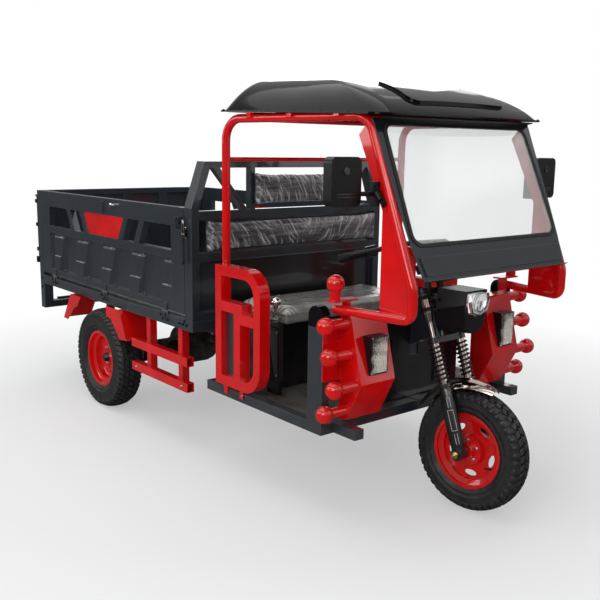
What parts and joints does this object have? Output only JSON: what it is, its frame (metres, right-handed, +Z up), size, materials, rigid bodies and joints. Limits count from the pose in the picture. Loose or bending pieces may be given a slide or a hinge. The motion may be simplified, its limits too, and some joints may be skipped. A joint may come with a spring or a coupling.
{
  "type": "cargo tricycle",
  "caption": "Three-wheeled cargo tricycle with an open cab, roof and windscreen, handlebar steering, and a drop-sided bed.",
  "frame": {"origin": "on the ground, in the middle of the overall length and width", "axes": "+X forward, +Y to the driver's left, +Z up"},
  "size_m": [3.3625, 1.388, 1.7995],
  "materials": {
    "chassis_frame": "satin dark paint",
    "floor_plate": "worn grey paint",
    "leg_shield": "satin dark paint",
    "rear_axle": "black paint, oily",
    "leaf_springs": "dark spring steel",
    "engine_block": "cast",
    "bed_frame": "dark grey paint",
    "bed_floor": "dark grey paint, scuffed",
    "side_panel_right": "dark grey paint",
    "side_panel_left": "dark grey paint",
    "side_trim_right": "gloss red",
    "side_trim_left": "gloss red",
    "tailgate": "dark grey paint",
    "headboard": "dark grey paint",
    "seat_base": "gloss black",
    "seat_cushion": "black vinyl",
    "backrest_pads": "black vinyl",
    "cab_frame": "gloss red",
    "roof": "gloss black",
    "windscreen_glass": "clear",
    "windscreen_seal": "black rubber",
    "front_panel": "dark grey paint",
    "lamp_boxes": "gloss red",
    "box_lamps": "clear lens",
    "guard_panels": "gloss grey",
    "side_guards": "gloss red",
    "mudguards": "gloss red",
    "mirrors": "black",
    "tail_lamps": "red lens",
    "controls": "black",
    "post_caps": "black",
    "fork_crown": "gloss black",
    "fork_tubes": "chrome",
    "fork_legs": "gloss black",
    "handlebar": "chrome",
    "grips": "black",
    "front_mudguard": "chrome",
    "headlamp_cowl": "gloss black",
    "headlamp": "clear lens",
    "front_tyre": "black rubber",
    "front_rim": "gloss red",
    "rear_tyre_left": "black rubber",
    "rear_tyre_right": "black rubber",
    "rear_rim_left": "gloss red",
    "rear_rim_right": "gloss red"
  },
  "bodies": {
    "vehicle": {"chassis_frame": "chassis_frame", "floor_plate": "floor_plate", "leg_shield": "leg_shield", "rear_axle": "rear_axle", "leaf_springs": "leaf_springs", "engine_block": "engine_block", "bed_frame": "bed_frame", "bed_floor": "bed_floor", "headboard": "headboard", "seat_base": "seat_base", "seat_cushion": "seat_cushion", "backrest_pads": "backrest_pads", "cab_frame": "cab_frame", "roof": "roof", "windscreen_glass": "windscreen_glass", "windscreen_seal": "windscreen_seal", "front_panel": "front_panel", "lamp_boxes": "lamp_boxes", "box_lamps": "box_lamps", "guard_panels": "guard_panels", "side_guards": "side_guards", "mudguards": "mudguards", "mirrors": "mirrors", "tail_lamps": "tail_lamps", "controls": "controls", "post_caps": "post_caps"},
    "steering": {"fork_crown": "fork_crown", "fork_tubes": "fork_tubes", "fork_legs": "fork_legs", "handlebar": "handlebar", "grips": "grips", "front_mudguard": "front_mudguard", "headlamp_cowl": "headlamp_cowl", "headlamp": "headlamp"},
    "front_wheel": {"front_tyre": "front_tyre", "front_rim": "front_rim"},
    "rear_wheel_left": {"rear_tyre_left": "rear_tyre_left", "rear_rim_left": "rear_rim_left"},
    "rear_wheel_right": {"rear_tyre_right": "rear_tyre_right", "rear_rim_right": "rear_rim_right"},
    "side_board_right": {"side_panel_right": "side_panel_right", "side_trim_right": "side_trim_right"},
    "side_board_left": {"side_panel_left": "side_panel_left", "side_trim_left": "side_trim_left"},
    "tail_board": {"tailgate": "tailgate"}
  },
  "joints": [
    {"name": "steering_turn", "type": "hinge", "parent": "vehicle", "child": "steering", "pos_m": [1.37971, 0, 0.24357], "axis": [-0.342, 0, 0.9397], "range_deg": [-46, 34]},
    {"name": "front_wheel_spin", "type": "hinge", "parent": "steering", "child": "front_wheel", "pos_m": [1.42177, 0.0047, 0.25888], "axis": [-0.0982, 0.9945, -0.0358], "continuous": true},
    {"name": "rear_wheel_left_spin", "type": "hinge", "parent": "vehicle", "child": "rear_wheel_left", "pos_m": [-0.803, 0.566, 0.287], "axis": [0, 1, 0], "continuous": true},
    {"name": "rear_wheel_right_spin", "type": "hinge", "parent": "vehicle", "child": "rear_wheel_right", "pos_m": [-0.803, -0.566, 0.287], "axis": [0, 1, 0], "continuous": true},
    {"name": "side_board_right_drop", "type": "hinge", "parent": "vehicle", "child": "side_board_right", "pos_m": [-0.803, -0.625, 0.69], "axis": [1, 0, 0], "range_deg": [0, 90]},
    {"name": "side_board_left_drop", "type": "hinge", "parent": "vehicle", "child": "side_board_left", "pos_m": [-0.803, 0.625, 0.69], "axis": [-1, 0, 0], "range_deg": [0, 90]},
    {"name": "tail_board_drop", "type": "hinge", "parent": "vehicle", "child": "tail_board", "pos_m": [-1.651, 0, 0.69], "axis": [0, -1, 0], "range_deg": [0, 90]}
  ]
}
